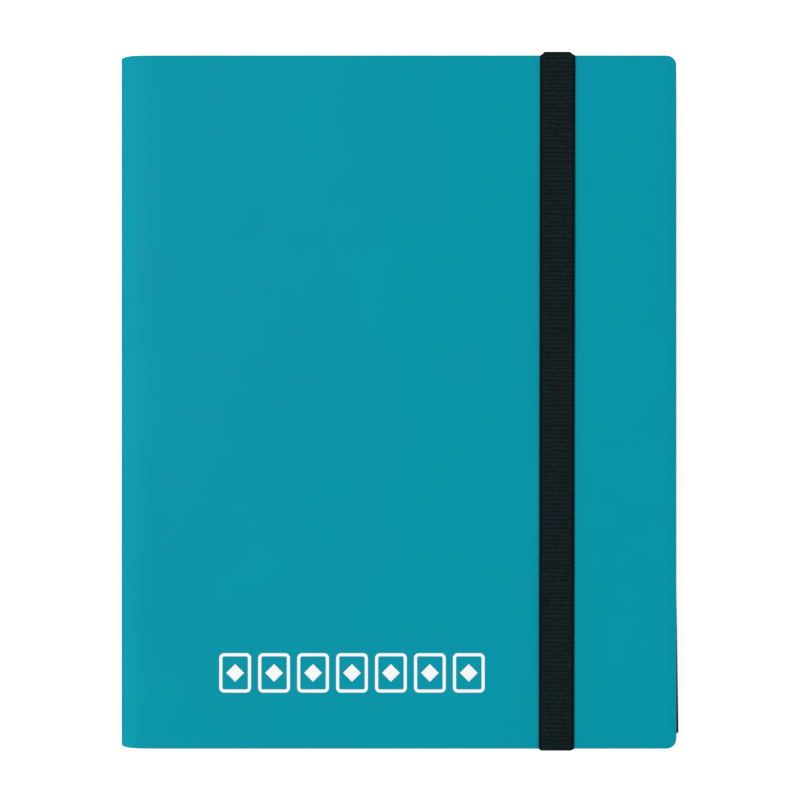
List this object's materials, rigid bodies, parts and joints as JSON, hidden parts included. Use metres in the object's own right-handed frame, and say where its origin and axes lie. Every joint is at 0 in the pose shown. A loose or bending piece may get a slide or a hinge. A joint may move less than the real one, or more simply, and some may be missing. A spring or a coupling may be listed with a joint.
{
  "type": "trading card binder",
  "caption": "Closed side-loading pocket-page card binder with a matte teal cover, creased spine, black lined pocket pages and a black elastic closing strap.",
  "frame": {"origin": "under the middle of the closed binder, on the rear cover's outer face", "axes": "+Z out of the front cover, +Y to the head of the binder, +X to the fore-edge; the spine is at -X"},
  "size_m": [0.2496, 0.3122, 0.0258],
  "materials": {
    "cover_plastic": "matte",
    "board": "matte",
    "lining": "matte",
    "print_ink": "satin",
    "page_sheet": "matte",
    "pocket_film": "gloss",
    "strap_elastic": "ribbed weave"
  },
  "bodies": {
    "rear_cover": {"rear_skin": "cover_plastic", "rear_core": "board", "rear_liner": "lining", "strap_end_tabs": "strap_elastic"},
    "spine": {"spine_skin": "cover_plastic", "spine_core": "board", "spine_liner": "lining", "rear_hinge_web": "cover_plastic", "rear_hinge_liner": "lining", "front_hinge_web": "cover_plastic", "front_hinge_liner": "lining", "binding_strip": "page_sheet", "page_roots": "page_sheet"},
    "front_cover": {"front_skin": "cover_plastic", "front_core": "board", "front_liner": "lining", "cover_print": "print_ink"},
    "page_01": {"page_01_backing": "page_sheet", "page_01_pockets": "pocket_film"},
    "page_02": {"page_02_backing": "page_sheet", "page_02_pockets": "pocket_film"},
    "page_03": {"page_03_backing": "page_sheet", "page_03_pockets": "pocket_film"},
    "page_04": {"page_04_backing": "page_sheet", "page_04_pockets": "pocket_film"},
    "page_05": {"page_05_backing": "page_sheet", "page_05_pockets": "pocket_film"},
    "page_06": {"page_06_backing": "page_sheet", "page_06_pockets": "pocket_film"},
    "page_07": {"page_07_backing": "page_sheet", "page_07_pockets": "pocket_film"},
    "page_08": {"page_08_backing": "page_sheet", "page_08_pockets": "pocket_film"},
    "page_09": {"page_09_backing": "page_sheet", "page_09_pockets": "pocket_film"},
    "page_10": {"page_10_backing": "page_sheet", "page_10_pockets": "pocket_film"},
    "page_11": {"page_11_backing": "page_sheet", "page_11_pockets": "pocket_film"},
    "page_12": {"page_12_backing": "page_sheet", "page_12_pockets": "pocket_film"},
    "page_13": {"page_13_backing": "page_sheet", "page_13_pockets": "pocket_film"},
    "page_14": {"page_14_backing": "page_sheet", "page_14_pockets": "pocket_film"},
    "page_15": {"page_15_backing": "page_sheet", "page_15_pockets": "pocket_film"},
    "page_16": {"page_16_backing": "page_sheet", "page_16_pockets": "pocket_film"},
    "page_17": {"page_17_backing": "page_sheet", "page_17_pockets": "pocket_film"},
    "page_18": {"page_18_backing": "page_sheet", "page_18_pockets": "pocket_film"},
    "page_19": {"page_19_backing": "page_sheet", "page_19_pockets": "pocket_film"},
    "page_20": {"page_20_backing": "page_sheet", "page_20_pockets": "pocket_film"},
    "strap": {"elastic_strap": "strap_elastic"}
  },
  "joints": [
    {"name": "spine_fold", "type": "hinge", "parent": "rear_cover", "child": "spine", "pos_m": [-0.12256, 0, 0.00229], "axis": [0, -1, 0], "range_deg": [0, 90], "deforming": ["rear_hinge_web", "rear_hinge_liner"]},
    {"name": "front_cover_fold", "type": "hinge", "parent": "spine", "child": "front_cover", "pos_m": [-0.12256, 0, 0.02232], "axis": [0, -1, 0], "range_deg": [0, 90], "deforming": ["front_hinge_web", "front_hinge_liner"]},
    {"name": "page_01_turn", "type": "hinge", "parent": "spine", "child": "page_01", "pos_m": [-0.12025, 0, 0.02114], "axis": [0, -1, 0], "range_deg": [0, 90]},
    {"name": "page_02_turn", "type": "hinge", "parent": "spine", "child": "page_02", "pos_m": [-0.11955, 0, 0.02021], "axis": [0, -1, 0], "range_deg": [0, 90]},
    {"name": "page_03_turn", "type": "hinge", "parent": "spine", "child": "page_03", "pos_m": [-0.11885, 0, 0.01928], "axis": [0, -1, 0], "range_deg": [0, 90]},
    {"name": "page_04_turn", "type": "hinge", "parent": "spine", "child": "page_04", "pos_m": [-0.11815, 0, 0.01835], "axis": [0, -1, 0], "range_deg": [0, 90]},
    {"name": "page_05_turn", "type": "hinge", "parent": "spine", "child": "page_05", "pos_m": [-0.11745, 0, 0.01741], "axis": [0, -1, 0], "range_deg": [0, 90]},
    {"name": "page_06_turn", "type": "hinge", "parent": "spine", "child": "page_06", "pos_m": [-0.11675, 0, 0.01648], "axis": [0, -1, 0], "range_deg": [0, 90]},
    {"name": "page_07_turn", "type": "hinge", "parent": "spine", "child": "page_07", "pos_m": [-0.11605, 0, 0.01555], "axis": [0, -1, 0], "range_deg": [0, 90]},
    {"name": "page_08_turn", "type": "hinge", "parent": "spine", "child": "page_08", "pos_m": [-0.11535, 0, 0.01463], "axis": [0, -1, 0], "range_deg": [0, 90]},
    {"name": "page_09_turn", "type": "hinge", "parent": "spine", "child": "page_09", "pos_m": [-0.11465, 0, 0.0137], "axis": [0, -1, 0], "range_deg": [0, 90]},
    {"name": "page_10_turn", "type": "hinge", "parent": "spine", "child": "page_10", "pos_m": [-0.11395, 0, 0.01277], "axis": [0, -1, 0], "range_deg": [0, 90]},
    {"name": "page_11_turn", "type": "hinge", "parent": "spine", "child": "page_11", "pos_m": [-0.11395, 0, 0.01184], "axis": [0, 1, 0], "range_deg": [0, 90]},
    {"name": "page_12_turn", "type": "hinge", "parent": "spine", "child": "page_12", "pos_m": [-0.11465, 0, 0.0109], "axis": [0, 1, 0], "range_deg": [0, 90]},
    {"name": "page_13_turn", "type": "hinge", "parent": "spine", "child": "page_13", "pos_m": [-0.11535, 0, 0.00997], "axis": [0, 1, 0], "range_deg": [0, 90]},
    {"name": "page_14_turn", "type": "hinge", "parent": "spine", "child": "page_14", "pos_m": [-0.11605, 0, 0.00904], "axis": [0, 1, 0], "range_deg": [0, 90]},
    {"name": "page_15_turn", "type": "hinge", "parent": "spine", "child": "page_15", "pos_m": [-0.11675, 0, 0.00812], "axis": [0, 1, 0], "range_deg": [0, 90]},
    {"name": "page_16_turn", "type": "hinge", "parent": "spine", "child": "page_16", "pos_m": [-0.11745, 0, 0.00719], "axis": [0, 1, 0], "range_deg": [0, 90]},
    {"name": "page_17_turn", "type": "hinge", "parent": "spine", "child": "page_17", "pos_m": [-0.11815, 0, 0.00626], "axis": [0, 1, 0], "range_deg": [0, 90]},
    {"name": "page_18_turn", "type": "hinge", "parent": "spine", "child": "page_18", "pos_m": [-0.11885, 0, 0.00532], "axis": [0, 1, 0], "range_deg": [0, 90]},
    {"name": "page_19_turn", "type": "hinge", "parent": "spine", "child": "page_19", "pos_m": [-0.11955, 0, 0.00439], "axis": [0, 1, 0], "range_deg": [0, 90]},
    {"name": "page_20_turn", "type": "hinge", "parent": "spine", "child": "page_20", "pos_m": [-0.12025, 0, 0.00347], "axis": [0, 1, 0], "range_deg": [0, 90]},
    {"name": "strap_swing", "type": "hinge", "parent": "rear_cover", "child": "strap", "pos_m": [0.0713, 0, 0.0014], "axis": [0, 1, 0], "range_deg": [0, 180], "deforming": ["elastic_strap"]}
  ],
  "couplings": [
    {"joint": "page_01_turn", "follows": "front_cover_fold", "ratio": 1},
    {"joint": "page_02_turn", "follows": "front_cover_fold", "ratio": 0.997},
    {"joint": "page_03_turn", "follows": "front_cover_fold", "ratio": 0.994},
    {"joint": "page_04_turn", "follows": "front_cover_fold", "ratio": 0.991},
    {"joint": "page_05_turn", "follows": "front_cover_fold", "ratio": 0.988},
    {"joint": "page_06_turn", "follows": "front_cover_fold", "ratio": 0.985},
    {"joint": "page_07_turn", "follows": "front_cover_fold", "ratio": 0.982},
    {"joint": "page_08_turn", "follows": "front_cover_fold", "ratio": 0.979},
    {"joint": "page_09_turn", "follows": "front_cover_fold", "ratio": 0.976},
    {"joint": "page_10_turn", "follows": "front_cover_fold", "ratio": 0.973},
    {"joint": "page_11_turn", "follows": "spine_fold", "ratio": 0.973},
    {"joint": "page_12_turn", "follows": "spine_fold", "ratio": 0.976},
    {"joint": "page_13_turn", "follows": "spine_fold", "ratio": 0.979},
    {"joint": "page_14_turn", "follows": "spine_fold", "ratio": 0.982},
    {"joint": "page_15_turn", "follows": "spine_fold", "ratio": 0.985},
    {"joint": "page_16_turn", "follows": "spine_fold", "ratio": 0.988},
    {"joint": "page_17_turn", "follows": "spine_fold", "ratio": 0.991},
    {"joint": "page_18_turn", "follows": "spine_fold", "ratio": 0.994},
    {"joint": "page_19_turn", "follows": "spine_fold", "ratio": 0.997},
    {"joint": "page_20_turn", "follows": "spine_fold", "ratio": 1}
  ]
}
